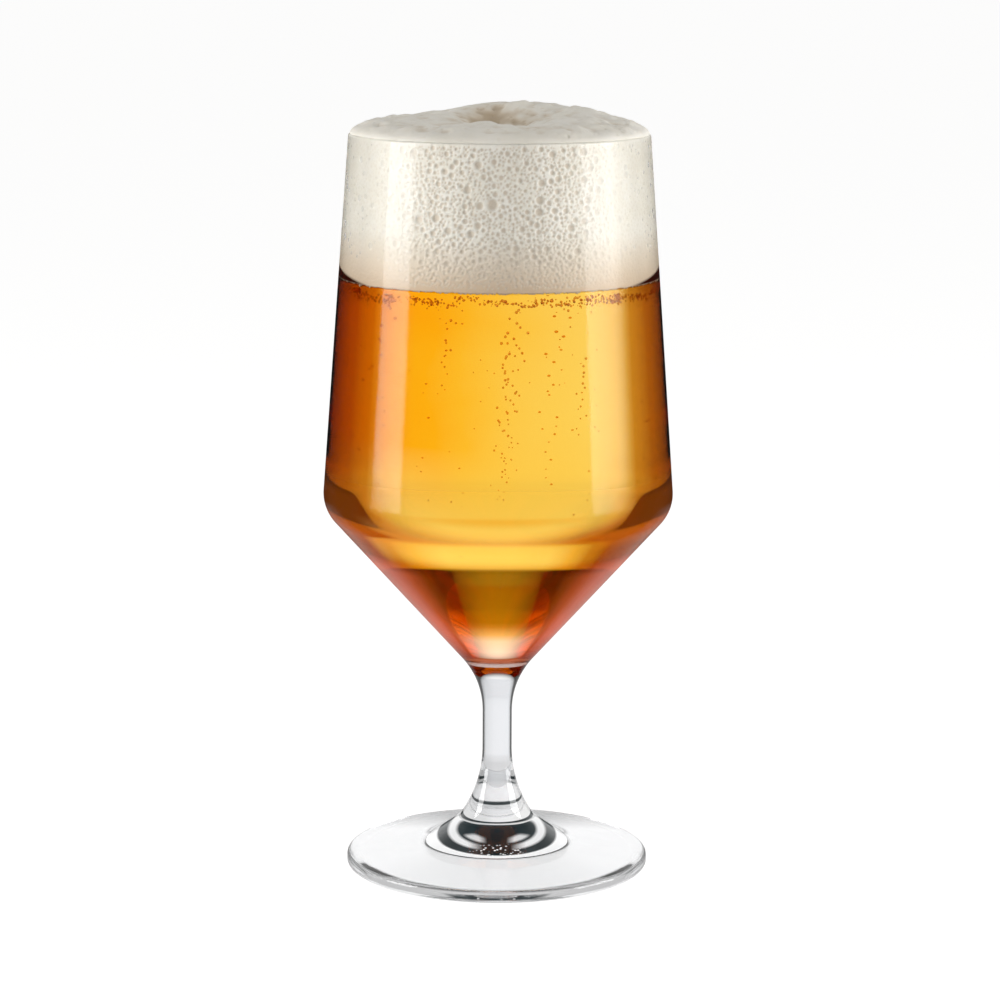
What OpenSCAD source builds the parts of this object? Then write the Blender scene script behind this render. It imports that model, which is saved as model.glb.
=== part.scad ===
// Footed pilsner glass, filled with beer under a crown of foam.
// Lengths are in millimetres. The glass stands on the XY plane with its axis
// along Z, and each glass piece is an outline turned round that axis. A corner
// of the outline is given where its sides would cross, before it is rounded.

/* [Bowl] */
// Height of the glass, from the table to the rim
glass_h = 177; // [170:0.5:190]
// Outer diameter at the rim
rim_d = 71.2; // [66:0.1:76]
// Diameter where the bowl's side and its cone would cross at the shoulder
shoulder_d = 84.2; // [80:0.1:90]
// Height of that crossing above the table
shoulder_h = 88.1; // [80:0.1:96]
// Radius that rounds the shoulder on the outside
shoulder_out_r = 9.3; // [6:0.1:12]
// Radius that rounds the shoulder on the inside
shoulder_in_r = 8; // [4:0.1:11]
// Height where the cone would cross the side of the stem
cone_foot_h = 45.2; // [43:0.1:47]
// Rise of the seam between stem and bowl over the start of the neck's curve
bowl_seam_rise = 9.2; // [7:0.1:11]
// Glass between that seam and the floor of the bowl
floor_glass = 4.8; // [3.5:0.1:7]
// Radius between the floor of the bowl and its cone
floor_r = 5; // [2:0.1:7]
// Wall thickness at the rim
rim_wall = 1.0; // [0.8:0.05:2]
// Wall thickness at the foot of the side, above the shoulder
side_wall = 1.5; // [1:0.05:2.5]
// Wall thickness of the cone
cone_wall = 1.8; // [1.2:0.05:3]
// Radius of the fire-polished edges of the rim
rim_round = 0.45; // [0.2:0.01:0.6]

/* [Stem] */
// Diameter of the stem at its waist
stem_d = 7.1; // [6:0.1:9]
// Radius of the curve from the waist up into the cone
neck_r = 20; // [14:0.1:22]
// Height where the waist begins to flare down to the foot
waist_h = 28.5; // [24:0.1:30]
// Diameter of the seam between the stem and the foot
foot_seam_d = 18.4; // [16:0.1:22]
// Height of that seam above the table
foot_seam_h = 11.1; // [10:0.1:13]

/* [Foot] */
// Diameter of the foot
foot_d = 73; // [68:0.1:80]
// Thickness of the foot at its edge
foot_edge_h = 2.8; // [2.4:0.1:4]
// Slope of the top of the foot, in degrees
foot_slope = 8; // [5:0.1:10]
// Diameter where the mound under the stem would meet that top
mound_d = 34.8; // [28:0.1:42]
// Radius of the fillet round the mound
mound_r = 7; // [1:0.1:12]
// Radius on the upper edge of the foot
foot_top_round = 1.1; // [0.5:0.1:1.4]
// Radius on the lower edge of the foot
foot_low_round = 0.8; // [0.4:0.1:0.9]
// Width of the flat ring that the glass stands on
rest_ring_w = 3; // [1.5:0.1:5]
// Height above the table that the cone of the hollow underside would reach in the middle
hollow_h = 4.4; // [1:0.1:5]
// Diameter of the dimple in the middle of the underside
dimple_d = 17; // [10:0.1:20]
// Depth of that dimple
dimple_depth = 0.9; // [0.5:0.1:2]

/* [Drink] */
// Height of the surface of the beer above the table
beer_h = 143.8; // [110:0.1:160]
// Height of the foam above the rim
crown_h = 6.6; // [4:0.1:12]
// Rim left bare outside the foam
bare_rim = 0.3; // [0.1:0.05:0.4]

/* [Hidden] */
$fn = 120;

// Straight steps in each curve of the outline, and in each rounded edge
arc_steps = 12;
edge_steps = 6;
// Most that the rim's edges are rounded, as a share of the wall
rim_round_share = 0.45;

// Foam: columns round the axis, and where its rings lie, as shares of its radius
foam_columns = 72;
foam_ring_shares = [0.99, 0.965, 0.92, 0.85, 0.76, 0.66, 0.55, 0.44, 0.33, 0.22, 0.11];
// Height of the foam's even dome, as a share of the crown's height
dome_share = 0.54;
// How squarely the dome's edge turns down
dome_power = 6;
// Swells and craters of the foam: place along X and Y and spread as shares of its
// radius, then height as a share of the crown's height
foam_lump_shares = [
    [0.22, 0.38, 0.25, 0.46],
    [-0.18, 0.36, 0.18, 0.23],
    [0.08, 0.02, 0.16, -0.37],
    [-0.10, -0.04, 0.09, -0.22],
    [0.27, -0.45, 0.09, -0.19],
    [0.56, 0.06, 0.16, 0.26],
    [-0.66, -0.16, 0.20, 0.05],
    [-0.42, -0.38, 0.12, -0.17],
    [-0.36, -0.02, 0.11, 0.11],
    [0.02, -0.40, 0.11, 0.11],
    [0.48, -0.34, 0.12, 0.11],
    [0.10, 0.22, 0.06, 0.11]
];

// Outer corners of the bowl, as radius and height
rim_out = [rim_d / 2, glass_h];
shoulder_out = [shoulder_d / 2, shoulder_h];
cone_foot = [stem_d / 2, cone_foot_h];

// The stem's lower curve runs from its waist to the seam with the foot
foot_seam = [foot_seam_d / 2, foot_seam_h];
flare_out = (foot_seam_d - stem_d) / 2;
flare_drop = waist_h - foot_seam_h;
flare_r = (pow(flare_out, 2) + pow(flare_drop, 2)) / (2 * flare_out);
flare_lean = asin(flare_drop / flare_r);
flare_corner = [stem_d / 2, waist_h - flare_r * tan(flare_lean / 2)];

// The foot's mound rises from its sloping top to that seam, where the stem
// stands on it with a faint crease
foot_low_edge = [foot_d / 2, 0];
foot_top_edge = [foot_d / 2, foot_edge_h];
mound_corner = [mound_d / 2, foot_edge_h + (foot_d - mound_d) / 2 * tan(foot_slope)];

// Underside of the foot: a flat ring, a shallow cone, and a dimple that is the
// cap of a ball
rest_in = [foot_d / 2 - foot_low_round - rest_ring_w, 0];
dimple_edge = [dimple_d / 2, hollow_h * (1 - dimple_d / 2 / rest_in[0])];
dimple_r = (pow(dimple_d / 2, 2) + pow(dimple_depth, 2)) / (2 * dimple_depth);
dimple_top = [0, dimple_edge[1] + dimple_depth];
dimple_sweep = asin(dimple_d / 2 / dimple_r);

// The curve of the neck belongs to the stem below the seam and to the bowl above
neck_centre = arc_centre(flare_corner, cone_foot, shoulder_out, neck_r);
neck_low = touch(flare_corner, cone_foot, shoulder_out, neck_r);
neck_sweep = arc_sweep(flare_corner, cone_foot, shoulder_out);
seam_sweep = -asin(bowl_seam_rise / neck_r);
bowl_seam = neck_centre + turned(neck_low - neck_centre, seam_sweep);
bowl_seam_h = bowl_seam[1];

// Inner corners of the bowl: the outer sides set in by the wall
side_run = unit(rim_out - shoulder_out);
cone_run = unit(cone_foot - shoulder_out);
side_in = [-side_run[1], side_run[0]];
cone_in = [cone_run[1], -cone_run[0]];
shoulder_in = shoulder_out + [
    side_wall * cone_in[1] - cone_wall * side_in[1],
    cone_wall * side_in[0] - side_wall * cone_in[0]
] / cross(side_in, cone_in);
rim_in = rim_out - [rim_wall, 0];
rim_edge_r = min(rim_round, rim_round_share * rim_wall);
floor_middle = [0, bowl_seam_h + floor_glass];
floor_edge = shoulder_in + cone_run * (floor_middle[1] - shoulder_in[1]) / cone_run[1];

// Outer radius of the foam where it lies on the rim
foam_r = rim_d / 2 - bare_rim;

function unit(v) = v / norm(v);
function turned(v, angle) =
    [v[0] * cos(angle) - v[1] * sin(angle), v[0] * sin(angle) + v[1] * cos(angle)];
function sum(v, i = 0) = i == len(v) ? 0 : v[i] + sum(v, i + 1);

// Points along an arc, from its start through its sweep
function arc(centre, start, sweep, steps) =
    [for (i = [0:steps]) centre + turned(start - centre, sweep * i / steps)];

// Rounding of the corner where an outline turns from the side from a to the side to b
function half_angle(a, corner, b) = acos(unit(a - corner) * unit(b - corner)) / 2;
function touch(a, corner, b, r) = corner + r / tan(half_angle(a, corner, b)) * unit(a - corner);
function arc_centre(a, corner, b, r) =
    corner + r / sin(half_angle(a, corner, b)) * unit(unit(a - corner) + unit(b - corner));
function arc_sweep(a, corner, b) =
    sign(cross(corner - a, b - corner)) * (180 - 2 * half_angle(a, corner, b));
function rounded(a, corner, b, r, steps = arc_steps) =
    arc(arc_centre(a, corner, b, r), touch(a, corner, b, r), arc_sweep(a, corner, b), steps);

// Radius of the bowl's inside at a height above its shoulder
function inside_r(z) =
    rim_in[0] + (shoulder_in[0] - rim_in[0]) * (glass_h - z) / (glass_h - shoulder_in[1]);

// Height of the foam over the rim, at a share of its radius and an angle
function lump(x, y, l) =
    l[3] * exp(-(pow(x - l[0], 2) + pow(y - l[1], 2)) / (2 * pow(l[2], 2)));
function foam_rise(share, angle) =
    crown_h * sqrt(1 - pow(share, dome_power))
    * (dome_share + sum([for (l = foam_lump_shares) lump(share * cos(angle), share * sin(angle), l)]));

function flat_ring(r, z) = [for (i = [0:foam_columns - 1])
    let (angle = 360 * i / foam_columns)
    [r * cos(angle), r * sin(angle), z]];
function crown_ring(share) = [for (i = [0:foam_columns - 1])
    let (angle = 360 * i / foam_columns)
    [foam_r * share * cos(angle), foam_r * share * sin(angle), glass_h + foam_rise(share, angle)]];

// Disc that rises to a mound under the stem, hollow underneath
module foot() {
    color([0.86, 0.89, 0.90, 0.6])
    rotate_extrude()
    polygon(concat(
        arc(dimple_top - [0, dimple_r], dimple_top, -dimple_sweep, arc_steps),
        [rest_in],
        rounded(rest_in, foot_low_edge, foot_top_edge, foot_low_round, edge_steps),
        rounded(foot_low_edge, foot_top_edge, mound_corner, foot_top_round, edge_steps),
        rounded(foot_top_edge, mound_corner, foot_seam, mound_r, edge_steps),
        [foot_seam, [0, foot_seam_h]]
    ));
}

// Solid stem, from the seam with the foot to the seam with the bowl
module stem() {
    color([0.78, 0.83, 0.86, 0.6])
    rotate_extrude()
    polygon(concat(
        [[0, foot_seam_h]],
        rounded(foot_seam, flare_corner, cone_foot, flare_r),
        arc(neck_centre, neck_low, seam_sweep, arc_steps),
        [[0, bowl_seam_h]]
    ));
}

// Cone, shoulder and tapering side, with a thick floor over the stem
module bowl() {
    color([0.88, 0.91, 0.93, 0.4])
    rotate_extrude()
    polygon(concat(
        [[0, bowl_seam_h]],
        arc(neck_centre, bowl_seam, neck_sweep - seam_sweep, arc_steps),
        rounded(cone_foot, shoulder_out, rim_out, shoulder_out_r),
        rounded(shoulder_out, rim_out, rim_in, rim_edge_r, edge_steps),
        rounded(rim_out, rim_in, shoulder_in, rim_edge_r, edge_steps),
        rounded(rim_in, shoulder_in, floor_edge, shoulder_in_r),
        rounded(shoulder_in, floor_edge, floor_middle, floor_r),
        [floor_middle]
    ));
}

// Beer, which takes the shape of the inside of the bowl
module beer() {
    color([0.91, 0.52, 0.06, 0.8])
    rotate_extrude()
    polygon(concat(
        [floor_middle],
        rounded(floor_middle, floor_edge, shoulder_in, floor_r),
        rounded(floor_edge, shoulder_in, rim_in, shoulder_in_r),
        [[inside_r(beer_h), beer_h], [0, beer_h]]
    ));
}

// Foam: a flat bottom on the beer, a side along the wall, a lip on the rim and
// a lumpy crown, as one closed surface
module foam_head() {
    rings = concat(
        [flat_ring(inside_r(beer_h), beer_h), flat_ring(rim_in[0], glass_h), flat_ring(foam_r, glass_h)],
        [for (share = foam_ring_shares) crown_ring(share)]
    );
    last = len(rings) - 1;
    bottom = len(rings) * foam_columns;
    top = bottom + 1;
    points = concat(
        [for (r = rings) each r],
        [[0, 0, beer_h], [0, 0, glass_h + foam_rise(0, 0)]]
    );
    sides = [for (k = [0:last - 1], i = [0:foam_columns - 1])
        let (
            next = (i + 1) % foam_columns,
            a = k * foam_columns + i,
            b = k * foam_columns + next,
            c = a + foam_columns,
            d = b + foam_columns
        )
        each [[a, c, b], [b, c, d]]];
    caps = [for (i = [0:foam_columns - 1])
        let (next = (i + 1) % foam_columns)
        each [
            [bottom, i, next],
            [top, last * foam_columns + next, last * foam_columns + i]
        ]];
    color([0.96, 0.94, 0.88])
    polyhedron(points, concat(sides, caps));
}

foot();
stem();
bowl();
beer();
foam_head();
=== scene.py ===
# %% [markdown]
# # A footed pilsner glass of beer
# This notebook dresses five solids: the foot, the stem and the bowl of a glass, the beer in
# it and the head of foam. Their sizes are settled before this file starts, so the first cell
# only loads them. Lengths are in metres, the glass stands on z = 0 with its axis along z, and
# the photograph was taken from the side of -y.

# %% Load the fixed solids
import math
import random

import bmesh
import bpy
import numpy as np
from mathutils import Matrix, Vector, noise


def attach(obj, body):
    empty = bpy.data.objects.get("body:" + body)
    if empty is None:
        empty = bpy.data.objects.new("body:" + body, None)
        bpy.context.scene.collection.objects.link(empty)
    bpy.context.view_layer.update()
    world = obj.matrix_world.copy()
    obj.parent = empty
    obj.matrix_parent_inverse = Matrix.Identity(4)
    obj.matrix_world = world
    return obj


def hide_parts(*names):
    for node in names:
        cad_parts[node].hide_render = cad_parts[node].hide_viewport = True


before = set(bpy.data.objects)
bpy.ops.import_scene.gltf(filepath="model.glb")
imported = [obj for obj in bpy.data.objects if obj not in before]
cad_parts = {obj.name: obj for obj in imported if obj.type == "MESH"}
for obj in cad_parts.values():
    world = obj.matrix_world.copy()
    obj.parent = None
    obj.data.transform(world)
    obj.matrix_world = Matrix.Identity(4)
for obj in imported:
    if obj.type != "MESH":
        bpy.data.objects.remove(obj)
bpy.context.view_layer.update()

# %% [markdown]
# ## Sizes
# A glass is a turned form, so a handful of numbers sets all of it: a few diameters, a few
# heights, the wall and the radii that round the corners. They are in millimetres here because
# that is how a glassmaker's drawing gives them, and they become metres when a mesh is made.

# %% Sizes of the glass, in millimetres
MM = 0.001
GLASS_H, RIM_D = 177.0, 71.2
SHOULDER_D, SHOULDER_H, SHOULDER_OUT_R, SHOULDER_IN_R = 84.2, 88.1, 9.3, 8.0
CONE_FOOT_H, BOWL_SEAM_RISE, FLOOR_GLASS, FLOOR_R = 45.2, 9.2, 4.8, 5.0
RIM_WALL, SIDE_WALL, CONE_WALL, RIM_ROUND = 1.0, 1.5, 1.8, 0.45
STEM_D, NECK_R, WAIST_H, FOOT_SEAM_D, FOOT_SEAM_H = 7.1, 20.0, 28.5, 18.4, 11.1
FOOT_D, FOOT_EDGE_H, FOOT_SLOPE, MOUND_D, MOUND_R = 73.0, 2.8, math.radians(8.0), 34.8, 7.0
FOOT_TOP_ROUND, FOOT_LOW_ROUND, REST_RING_W, HOLLOW_H = 1.1, 0.8, 3.0, 4.4
DIMPLE_D, DIMPLE_DEPTH = 17.0, 0.9
BEER_H, CROWN_H, BARE_RIM = 143.8, 6.6, 0.3
print("glass", GLASS_H, "mm high,", SHOULDER_D, "mm over the shoulder's corner")

# %% [markdown]
# ## Drawing an outline
# Each outline is drawn as a draughtsman would: straight sides that meet at corners, and a
# radius at each corner. Curves could be Bezier splines with hand-set handles, but an arc that
# touches both sides is exact and needs only its radius. Points are laid close together along
# the arcs, because glass shows every facet of a coarse outline in what it bends.

# %% Points and directions


def vec(r, z):
    return np.array([r, z], float)


def unit(v):
    return v / np.linalg.norm(v)


def turned(v, angle):
    c, s = math.cos(angle), math.sin(angle)
    return vec(v[0] * c - v[1] * s, v[0] * s + v[1] * c)


def cross(a, b):
    return a[0] * b[1] - a[1] * b[0]


print("a quarter turn of", vec(1, 0), "is", turned(vec(1, 0), math.pi / 2).round(3))

# %% Arcs that touch two sides
STEP = 0.55  # mm between the points of an outline


def arc(centre, start, sweep, step=STEP, least=6):
    r = np.linalg.norm(start - centre)
    count = max(least, math.ceil(r * abs(sweep) / step))
    return [centre + turned(start - centre, sweep * i / count) for i in range(count + 1)]


def half_angle(a, corner, b):
    return math.acos(float(np.dot(unit(a - corner), unit(b - corner)))) / 2


def touch(a, corner, b, r):
    return corner + r / math.tan(half_angle(a, corner, b)) * unit(a - corner)


def arc_centre(a, corner, b, r):
    lean = half_angle(a, corner, b)
    return corner + r / math.sin(lean) * unit(unit(a - corner) + unit(b - corner))


def arc_sweep(a, corner, b):
    return math.copysign(math.pi - 2 * half_angle(a, corner, b), cross(corner - a, b - corner))


def rounded(a, corner, b, r, step=STEP):
    return arc(arc_centre(a, corner, b, r), touch(a, corner, b, r), arc_sweep(a, corner, b), step)


print("outline points every", STEP, "mm")

# %% One outline from its parts


def joined(*parts):
    """One outline through all the parts, with the straight runs filled in."""
    points = []
    for p in [q for part in parts for q in part]:
        if points:
            gap = np.linalg.norm(p - points[-1])
            if gap < 1e-6:
                continue
            count = math.ceil(gap / (STEP * 1.5))
            points += [points[-1] + (p - points[-1]) * k / count for k in range(1, count)]
        points.append(p)
    return points


print("a side of 5 mm has", len(joined([vec(0, 0), vec(5, 0)])), "points")

# %% [markdown]
# ## The corners of the profile
# The stem's flare runs into the mound of the foot without a kink, and the neck runs into the
# cone the same way. So the corners are worked out from the slopes on both sides of each seam,
# in the same manner as the solids were.

# %% Corners of stem and foot
rim_out = vec(RIM_D / 2, GLASS_H)
shoulder_out = vec(SHOULDER_D / 2, SHOULDER_H)
cone_foot = vec(STEM_D / 2, CONE_FOOT_H)
foot_seam = vec(FOOT_SEAM_D / 2, FOOT_SEAM_H)

flare_out, flare_drop = (FOOT_SEAM_D - STEM_D) / 2, WAIST_H - FOOT_SEAM_H
flare_r = (flare_out**2 + flare_drop**2) / (2 * flare_out)
flare_lean = math.asin(flare_drop / flare_r)
flare_corner = vec(STEM_D / 2, WAIST_H - flare_r * math.tan(flare_lean / 2))

foot_low_edge, foot_top_edge = vec(FOOT_D / 2, 0), vec(FOOT_D / 2, FOOT_EDGE_H)
mound_corner = vec(MOUND_D / 2, FOOT_EDGE_H + (FOOT_D - MOUND_D) / 2 * math.tan(FOOT_SLOPE))
rest_in = vec(FOOT_D / 2 - FOOT_LOW_ROUND - REST_RING_W, 0)
dimple_edge_z = HOLLOW_H * (1 - DIMPLE_D / 2 / rest_in[0])
dimple_r = ((DIMPLE_D / 2) ** 2 + DIMPLE_DEPTH**2) / (2 * DIMPLE_DEPTH)
dimple_top = vec(0, dimple_edge_z + DIMPLE_DEPTH)
print("mound's corner at", mound_corner.round(2), "dimple's top at", dimple_top.round(2))

# %% Corners of neck and bowl
neck_centre = arc_centre(flare_corner, cone_foot, shoulder_out, NECK_R)
neck_low = touch(flare_corner, cone_foot, shoulder_out, NECK_R)
neck_sweep = arc_sweep(flare_corner, cone_foot, shoulder_out)
seam_sweep = -math.asin(BOWL_SEAM_RISE / NECK_R)
bowl_seam = neck_centre + turned(neck_low - neck_centre, seam_sweep)

side_run, cone_run = unit(rim_out - shoulder_out), unit(cone_foot - shoulder_out)
side_in, cone_in = vec(-side_run[1], side_run[0]), vec(cone_run[1], -cone_run[0])
shoulder_in = shoulder_out + vec(
    SIDE_WALL * cone_in[1] - CONE_WALL * side_in[1],
    CONE_WALL * side_in[0] - SIDE_WALL * cone_in[0],
) / cross(side_in, cone_in)
rim_in = rim_out - vec(RIM_WALL, 0)
floor_middle = vec(0, bowl_seam[1] + FLOOR_GLASS)
floor_edge = shoulder_in + cone_run * (floor_middle[1] - shoulder_in[1]) / cone_run[1]
FOAM_R = RIM_D / 2 - BARE_RIM


def inside_r(z):
    """Radius of the bowl's inside at a height above its shoulder."""
    t = (GLASS_H - z) / (GLASS_H - shoulder_in[1])
    return rim_in[0] + (shoulder_in[0] - rim_in[0]) * t


print("bowl seam at", bowl_seam.round(2), "inner shoulder at", shoulder_in.round(2))

# %% [markdown]
# ## Turning a profile into a mesh
# A lathe form can come from the Screw modifier, but then the seam and the poles need mending.
# Here the rings of points are made directly: one ring for each point of the outline and one
# single point where the outline meets the axis. The faces look outward, because glass bends
# light by which side of a face it comes from.

# %% A piece from points and faces
COLUMNS = 288


def mesh_piece(name, points, faces, material):
    """A smooth piece from points in millimetres."""
    mesh = bpy.data.meshes.new(name)
    mesh.from_pydata((np.asarray(points) * MM).tolist(), [], faces)
    mesh.polygons.foreach_set("use_smooth", [True] * len(mesh.polygons))
    mesh.materials.append(material)
    mesh.update()
    piece = bpy.data.objects.new(name, mesh)
    bpy.context.scene.collection.objects.link(piece)
    return piece


print("each turned piece has", COLUMNS, "columns")

# %% The lathe


def skin(rows):
    """Faces between rings of point numbers. On the axis, a ring is one number repeated."""
    faces = []
    for low, high in zip(rows, rows[1:]):
        for corners in zip(low, low[1:] + low[:1], high[1:] + high[:1], high):
            faces.append(list(dict.fromkeys(corners)))
    return faces


def lathe(name, outline, material):
    angles = np.arange(COLUMNS) * 2 * math.pi / COLUMNS
    ring = np.stack([np.cos(angles), np.sin(angles)], axis=1)
    points, rows = [], []
    for r, z in outline:
        if r < 1e-9:
            rows.append([len(points)] * COLUMNS)
            points.append([0, 0, z])
        else:
            rows.append(list(range(len(points), len(points) + COLUMNS)))
            points += np.column_stack([ring * r, np.full(COLUMNS, z)]).tolist()
    print(name, len(points), "points")
    return mesh_piece(name, points, skin(rows), material)


print("lathe ready")

# %% [markdown]
# ## Small helpers for node materials
# Every finish below is a small network of nodes. These helpers add a node and give each of
# its inputs a plain value or the output of another node, so that a material reads like a
# recipe. The commonest nodes have a helper of their own.

# %% Materials and nodes


def new_material(name):
    material = bpy.data.materials.new(name)
    material.use_nodes = True
    material.node_tree.nodes.clear()
    return material, material.node_tree


def add(tree, kind, inputs=None, **settings):
    """A node whose inputs are plain values or the sockets of other nodes."""
    node = tree.nodes.new(kind)
    for key, value in settings.items():
        setattr(node, key, value)
    for key, value in (inputs or {}).items():
        if isinstance(value, bpy.types.NodeSocket):
            tree.links.new(value, node.inputs[key])
        else:
            node.inputs[key].default_value = value
    return node


print("node helpers ready")

# %% Sums and ranges


def maths(tree, operation, first, *more, clamp=False):
    """A sum. Of three values, the third is taken with what the first two gave."""
    for value in more or (0.0,):
        inputs = {0: first, 1: value}
        node = add(tree, "ShaderNodeMath", inputs, operation=operation, use_clamp=clamp)
        first = node.outputs[0]
    return first


def mapped(tree, source, low, high, to_low=0.0, to_high=1.0):
    """A range of the source stretched to another range, and held at its two ends."""
    ends = {"From Min": low, "From Max": high, "To Min": to_low, "To Max": to_high}
    return add(tree, "ShaderNodeMapRange", {"Value": source, **ends}).outputs["Result"]


def fading(tree, source, low, high):
    """1 up to low, 0 from high on."""
    return mapped(tree, source, low, high, 1.0, 0.0)


print("sum helpers ready")

# %% Colours
WHITE = (1, 1, 1, 1)


def ramp(tree, source, stops):
    """A colour for each value of the source, from a list of (place, colour)."""
    node = add(tree, "ShaderNodeValToRGB", {"Fac": source})
    elements = node.color_ramp.elements
    while len(elements) < len(stops):
        elements.new(0.5)
    for element, (place, colour) in zip(elements, stops):
        element.position = place
        element.color = (*colour, 1)
    return node.outputs["Color"]


def greys(*stops):
    """Stops of a ramp, each from its place and how bright it is."""
    return [(place, (bright, bright, bright)) for place, bright in stops]


def mixed(tree, share, a, b, way="MIX"):
    """Colour a, replaced by b, or with MULTIPLY filtered by it, in a share of 0 to 1."""
    inputs = {"Factor": share, "A": a, "B": b}
    return add(tree, "ShaderNodeMix", inputs, data_type="RGBA", blend_type=way).outputs["Result"]


print("greys for two stops:", greys((0.0, 0.2), (1.0, 0.8)))

# %% Places and angles


def here(tree):
    """The place on the object that light meets, in metres."""
    return add(tree, "ShaderNodeTexCoord").outputs["Object"]


def axes(tree):
    """That place, whole and as x, y and z."""
    place = here(tree)
    return place, *add(tree, "ShaderNodeSeparateXYZ", {0: place}).outputs


def grain(tree, scale, detail=3.0):
    """Noise that is fixed to the object, at so many waves a metre."""
    inputs = {"Vector": here(tree), "Scale": scale, "Detail": detail}
    return add(tree, "ShaderNodeTexNoise", inputs).outputs["Fac"]


def facing(tree):
    """0 where light meets the face square on, 1 where it skims it."""
    return add(tree, "ShaderNodeLayerWeight", {"Blend": 0.5}).outputs["Facing"]


print("place helpers ready")

# %% Shaders


def either(tree, share, first, second):
    """The first shader where the share is 0, the second where it is 1."""
    return add(tree, "ShaderNodeMixShader", {0: share, 1: first, 2: second}).outputs["Shader"]


def both(tree, first, second):
    """Two shaders whose light is added."""
    return add(tree, "ShaderNodeAddShader", {0: first, 1: second}).outputs["Shader"]


def lit_through(tree, shader, colour):
    """Ends a finish that lamps shine through in a colour, and that all else sees as it is."""
    shadow = add(tree, "ShaderNodeLightPath").outputs["Is Shadow Ray"]
    through = add(tree, "ShaderNodeBsdfTransparent", {"Color": colour}).outputs["BSDF"]
    surface = either(tree, shadow, shader, through)
    return add(tree, "ShaderNodeOutputMaterial", {"Surface": surface})


print("shader helpers ready")

# %% [markdown]
# ## Clear glass
# Soda-lime glass is colourless, bends light by an index of 1.52 and is fire-polished, so its
# only texture is a slight unevenness from the mould. A clear object on a white ground is seen
# by its edges: there the light skims the wall, loses strength and turns grey. That grey is
# painted shade: Layer Weight gives the change of angle, and a painted tint follows it above a
# height that each piece sets. Lamps shine through by a transparent shader on shadow rays, so
# that the foam behind the wall is lit as it is in a real glass.
#
# A thick wall bends what lies behind it, so the beer's line seems to climb towards the sides
# of the view. Bending alone would need the wall's exact thickness for that. A dark line of beer
# painted in the glass, which climbs with the angle, looks the same and doesn't depend on it.

# %% A recipe for clear glass
GLASS_IOR = 1.52
STEM_HALF = 0.005     # m each way over which the stem is shaded
BEER_CLIMB = 0.003    # m that the beer's line climbs at the sides of the view
BEER_LINE = 0.0006    # m over which the line is soft
# Colour of the painted line of beer in the glass.
PAINTED_BEER_LINE = (0.035, 0.003, 0.0001, 1)


def clear_glass(
    name, edge_shade, ripple, mirror=1.0, rise=(-0.002, -0.001), plain=1.0, across=(), beer_line_z=0.0,
    surface=None
):
    """Glass with painted edge shade by angle above the rise, and a plain tint under it.

    across is painted shade from left to right, the beer line's height places a painted line
    of beer in the glass, and surface is a function that takes the place of the glass's own
    shader where it has to."""
    material, tree = new_material(name)
    tint = WHITE
    if edge_shade:
        # Painted shade: the glass turns grey where the light skims it, above the piece's rise.
        skim = facing(tree)
        _, x, _, z = axes(tree)
        tint = ramp(tree, skim, edge_shade)
        tint = mixed(tree, mapped(tree, z, *rise), (plain, plain, plain, 1), tint)
    if across:
        shade = ramp(tree, mapped(tree, x, -STEM_HALF, STEM_HALF), across)
        tint = mixed(tree, 1.0, tint, shade, "MULTIPLY")
    # A painted dark line of beer in the glass, climbing towards the sides of the view.
    if beer_line_z:
        lower = maths(tree, "SUBTRACT", z, mapped(tree, skim, 0.42, 0.95, 0.0, BEER_CLIMB))
        under_line = fading(tree, lower, beer_line_z, beer_line_z + BEER_LINE)
        over_beer = mapped(tree, z, beer_line_z, beer_line_z + BEER_LINE)
        tint = mixed(tree, maths(tree, "MULTIPLY", under_line, over_beer), tint, PAINTED_BEER_LINE)
    waves = {"Strength": ripple, "Distance": 0.0002, "Height": grain(tree, 90, detail=1.0)}
    normal = add(tree, "ShaderNodeBump", waves).outputs["Normal"]
    inputs = {
        "IOR": GLASS_IOR,
        "Transmission Weight": 1.0,
        "Specular Tint": (mirror, mirror, mirror, 1),
        "Base Color": tint,
        "Roughness": mapped(tree, grain(tree, 60), 0.3, 0.7, 0.0, 0.012),
        "Normal": normal,
    }
    glass = add(tree, "ShaderNodeBsdfPrincipled", inputs).outputs["BSDF"]
    if surface:
        glass = surface(tree, glass, tint, normal)
    lit_through(tree, glass, (0.95, 0.96, 0.96, 1))
    print(name, len(tree.nodes), "nodes")
    return material


# %% [markdown]
# ### What the wall mirrors
# From outside, the wall mirrors the lamps faintly in the middle and more towards its edges.
# The full mirror of plain glass would whiten the beer, so the outer face has a mirror of its
# own, from a table of angles. Light that is already inside still meets the glass as it is.

# %% Painted edge shade and mirror by angle
# Painted edge shade of the bowl and the stem: how bright the glass is by how much light skims it.
WALL_EDGE_SHADE = greys((0.30, 1.0), (0.41, 0.84), (0.50, 0.74), (0.83, 0.66), (1.0, 0.62))
WALL_MIRROR = greys(
    (0.30, 0.025), (0.38, 0.0), (0.60, 0.0), (0.74, 0.12), (0.85, 0.30), (1.0, 0.34)
)
STEM_EDGE_SHADE = [
    (0.0, (0.97, 0.97, 0.98)),
    (0.36, (0.92, 0.93, 0.94)),
    (0.47, (0.50, 0.51, 0.52)),
    (0.55, (0.02, 0.02, 0.02)),
    (0.62, (0.0005, 0.0005, 0.0005)),
    (0.88, (0.0005, 0.0005, 0.0005)),
    (1.0, (0.20, 0.20, 0.20)),
]
# Painted shade across the stem: darker on the left, lighter towards the right.
STEM_SIDE_SHADE = [
    (0.0, (0.58, 0.59, 0.60)),
    (0.22, (0.66, 0.67, 0.68)),
    (0.42, (0.83, 0.84, 0.86)),
    (0.80, (0.90, 0.91, 0.93)),
    (1.0, (0.80, 0.80, 0.80)),
]
print("the wall passes", WALL_EDGE_SHADE[-1][1][0], "of the light that skims it")

# %% Glass of the bowl and the stem


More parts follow.
